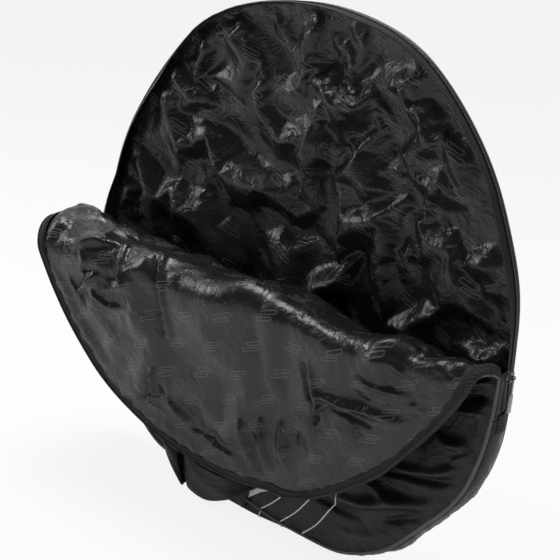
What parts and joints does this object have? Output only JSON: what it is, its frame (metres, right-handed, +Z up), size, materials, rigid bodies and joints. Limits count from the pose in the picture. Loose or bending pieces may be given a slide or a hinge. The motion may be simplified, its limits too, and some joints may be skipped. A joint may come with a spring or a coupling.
{
  "type": "bike wheel bag",
  "caption": "Padded round bag for one bicycle wheel, standing on its flat bottom with the zipped front flap folded down and its lining showing.",
  "frame": {"origin": "middle of the flat bottom that the bag stands on", "axes": "+Z up, -Y out of the bag's front, +X to the right seen from the front"},
  "size_m": [0.7557, 0.2186, 0.7225],
  "materials": {
    "shell_nylon": "black coated nylon, fine plain weave, slightly glossy",
    "lining_satin": "dark grey satin lining with soft creases",
    "padding_foam": "grey foam sheet, hidden between shell and lining",
    "piping_cloth": "grey cloth piping",
    "zip_tape": "woven dark grey zip tape",
    "zip_coil": "black nylon zip teeth",
    "binding_tape": "woven seam binding",
    "handle_webbing": "black webbing",
    "slider_metal": "dark plated metal",
    "pull_grip": "light grey moulded rubber"
  },
  "bodies": {
    "bag": {"back_panel_shell": "shell_nylon", "back_panel_foam": "padding_foam", "back_panel_lining": "lining_satin", "back_piping": "piping_cloth", "front_panel_shell": "shell_nylon", "front_panel_foam": "padding_foam", "front_panel_lining": "lining_satin", "front_piping": "piping_cloth", "gusset_lower": "shell_nylon", "gusset_foam": "padding_foam", "gusset_lining": "lining_satin", "gusset_upper_strip": "shell_nylon", "rim_binding": "binding_tape", "zip_tape_gusset": "zip_tape", "zip_coil_gusset": "zip_coil", "gusset_front_stub_right": "shell_nylon", "gusset_front_stub_left": "shell_nylon", "zip_tape_stub_right": "zip_tape", "zip_tape_stub_left": "zip_tape", "zip_coil_stub_right": "zip_coil", "zip_coil_stub_left": "zip_coil", "zip_end_tab_right": "binding_tape", "zip_end_tab_left": "binding_tape", "handle_patch_left": "handle_webbing", "handle_patch_right": "handle_webbing"},
    "flap_root": {"flap_root_shell": "shell_nylon", "flap_root_foam": "padding_foam", "flap_root_lining": "lining_satin", "flap_root_lip_right": "shell_nylon", "flap_root_lip_left": "shell_nylon", "flap_root_zip_tape_right": "zip_tape", "flap_root_zip_tape_left": "zip_tape", "flap_root_zip_coil_right": "zip_coil", "flap_root_zip_coil_left": "zip_coil", "flap_root_piping_right": "piping_cloth", "flap_root_piping_left": "piping_cloth"},
    "flap": {"flap_shell": "shell_nylon", "flap_foam": "padding_foam", "flap_lining": "lining_satin", "flap_lip": "shell_nylon", "flap_zip_tape": "zip_tape", "flap_zip_coil": "zip_coil", "flap_piping": "piping_cloth"},
    "slider": {"zip_slider": "slider_metal"},
    "pull": {"pull_tab": "slider_metal", "pull_grip": "pull_grip"},
    "handle": {"handle_strap": "handle_webbing"}
  },
  "joints": [
    {"name": "flap_fold", "type": "hinge", "parent": "bag", "child": "flap_root", "pos_m": [0, -0.0244, 0.3475], "axis": [1, 0, 0], "range_deg": [-82, 0]},
    {"name": "flap_bend", "type": "hinge", "parent": "flap_root", "child": "flap", "pos_m": [0.37357, -0.05677, 0.35205], "axis": [0.9925, 0.1207, -0.017], "range_deg": [-107, 0]},
    {"name": "slider_run", "type": "hinge", "parent": "bag", "child": "slider", "pos_m": [0, -0.0005, 0.3475], "axis": [0, -1, 0], "range_deg": [0, 186]},
    {"name": "pull_swing", "type": "hinge", "parent": "slider", "child": "pull", "pos_m": [0.37858, -0.0005, 0.34043], "axis": [0, -1, 0], "range_deg": [0, 150]},
    {"name": "handle_swing", "type": "hinge", "parent": "bag", "child": "handle", "pos_m": [-0.09905, -0.0233, 0.06448], "axis": [-0.9724, 0, 0.2334], "range_deg": [0, 56]}
  ],
  "couplings": [
    {"joint": "flap_bend", "follows": "flap_fold", "ratio": 1.3048}
  ]
}
